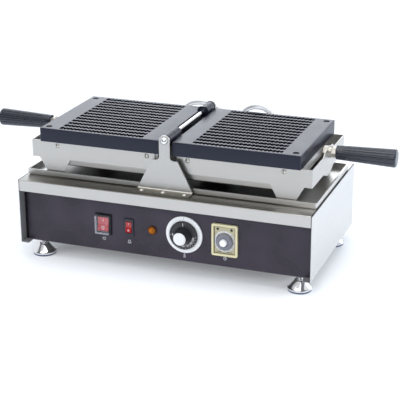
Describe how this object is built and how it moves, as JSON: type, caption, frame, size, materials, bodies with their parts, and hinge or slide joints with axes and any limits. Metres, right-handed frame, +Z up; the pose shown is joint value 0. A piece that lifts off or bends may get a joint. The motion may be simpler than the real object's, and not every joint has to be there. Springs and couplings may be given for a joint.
{
  "type": "waffle cone maker",
  "caption": "Countertop waffle cone baker whose hinged grooved plates open flat over a drip tray and a steel base with a dial, a timer and switches.",
  "frame": {"origin": "on the worktop under the middle of the base", "axes": "+X right, +Y to the back, +Z up, seen from the control panel"},
  "size_m": [0.697, 0.2808, 0.2324],
  "materials": {
    "stainless": "brushed",
    "tray_steel": "brushed",
    "bracket_steel": "satin",
    "frame_steel": "brushed",
    "tub_steel": "mill",
    "panel_black": "satin",
    "plate_coating": "non-stick coating",
    "chrome": "polished",
    "zinc": "zinc plated",
    "grey_rubber": "matte",
    "lead_sleeve": "braided sleeve",
    "black_plastic": "matte",
    "black_gloss": "gloss",
    "clear_cover": "clear",
    "amber_lens": "clear amber",
    "bezel_satin": "satin",
    "cream_plastic": "satin",
    "timer_face": "satin",
    "timer_ring": "clear",
    "knob_black": "satin",
    "red_lens": "clear red",
    "foot_pad": "matte",
    "heater_sheath": "oxidised",
    "insulation_wool": "matte",
    "handle_black": "satin bakelite",
    "gland_metal": "plated"
  },
  "bodies": {
    "base": {"top_cover": "stainless", "side_panel_left": "stainless", "side_panel_right": "stainless", "front_panel": "panel_black", "rear_panel": "stainless", "bottom_plate": "stainless", "base_screws": "zinc", "drip_tray": "tray_steel", "hinge_bracket_front": "bracket_steel", "hinge_bracket_rear": "bracket_steel", "bracket_rivets": "zinc", "hinge_shaft": "chrome", "shaft_end_bolts": "chrome", "lead_bushes": "grey_rubber", "left_lead": "lead_sleeve", "right_lead": "lead_sleeve", "cord_gland": "black_plastic", "buzzer": "black_plastic", "terminal_block": "cream_plastic", "power_switch_housing": "black_gloss", "power_switch_cover": "clear_cover", "alarm_switch_housing": "black_gloss", "pilot_lamp_lens": "amber_lens", "pilot_lamp_body": "black_plastic", "thermostat_bezel": "bezel_satin", "thermostat_body": "black_plastic", "timer_frame": "cream_plastic", "timer_body": "timer_face"},
    "left_plate": {"left_hinge_lugs": "plate_coating", "left_baking_plate": "plate_coating", "left_plate_frame": "frame_steel", "left_frame_fasteners": "zinc", "left_heater_cover": "tub_steel", "left_heating_element": "heater_sheath", "left_insulation": "insulation_wool", "left_handle_stud": "chrome", "left_handle_grip": "handle_black", "left_lead_gland": "gland_metal"},
    "right_plate": {"right_hinge_lugs": "plate_coating", "right_baking_plate": "plate_coating", "right_plate_frame": "frame_steel", "right_frame_fasteners": "zinc", "right_heater_cover": "tub_steel", "right_heating_element": "heater_sheath", "right_insulation": "insulation_wool", "right_handle_stud": "chrome", "right_handle_grip": "handle_black", "right_lead_gland": "gland_metal"},
    "thermostat_knob": {"thermostat_knob": "knob_black"},
    "timer_knob": {"timer_knob": "timer_ring"},
    "power_rocker": {"power_rocker": "red_lens"},
    "alarm_rocker": {"alarm_rocker": "red_lens"},
    "foot_front_left": {"foot_cup_front_left": "chrome", "foot_pad_front_left": "foot_pad"},
    "foot_front_right": {"foot_cup_front_right": "chrome", "foot_pad_front_right": "foot_pad"},
    "foot_rear_left": {"foot_cup_rear_left": "chrome", "foot_pad_rear_left": "foot_pad"},
    "foot_rear_right": {"foot_cup_rear_right": "chrome", "foot_pad_rear_right": "foot_pad"}
  },
  "joints": [
    {"name": "left_plate_swing", "type": "hinge", "parent": "base", "child": "left_plate", "pos_m": [0, 0, 0.2233], "axis": [0, 1, 0], "range_deg": [0, 179.9], "deforming": ["left_lead"]},
    {"name": "right_plate_swing", "type": "hinge", "parent": "base", "child": "right_plate", "pos_m": [0, 0, 0.2233], "axis": [0, -1, 0], "range_deg": [0, 179.9], "deforming": ["right_lead"]},
    {"name": "thermostat_turn", "type": "hinge", "parent": "base", "child": "thermostat_knob", "pos_m": [0.0358, -0.116, 0.0735], "axis": [0, 1, 0], "range_deg": [0, 270]},
    {"name": "timer_turn", "type": "hinge", "parent": "base", "child": "timer_knob", "pos_m": [0.1046, -0.116, 0.0715], "axis": [0, 1, 0], "range_deg": [0, 300]},
    {"name": "power_rocker_tilt", "type": "hinge", "parent": "base", "child": "power_rocker", "pos_m": [-0.105, -0.115, 0.0735], "axis": [1, 0, 0], "range_deg": [0, 14]},
    {"name": "alarm_rocker_tilt", "type": "hinge", "parent": "base", "child": "alarm_rocker", "pos_m": [-0.06, -0.115, 0.0735], "axis": [1, 0, 0], "range_deg": [0, 14]},
    {"name": "foot_front_left_level", "type": "slide", "parent": "base", "child": "foot_front_left", "axis": [0, 0, 1], "range_m": [-0.01, 0.005]},
    {"name": "foot_front_right_level", "type": "slide", "parent": "base", "child": "foot_front_right", "axis": [0, 0, 1], "range_m": [-0.01, 0.005]},
    {"name": "foot_rear_left_level", "type": "slide", "parent": "base", "child": "foot_rear_left", "axis": [0, 0, 1], "range_m": [-0.01, 0.005]},
    {"name": "foot_rear_right_level", "type": "slide", "parent": "base", "child": "foot_rear_right", "axis": [0, 0, 1], "range_m": [-0.01, 0.005]}
  ]
}
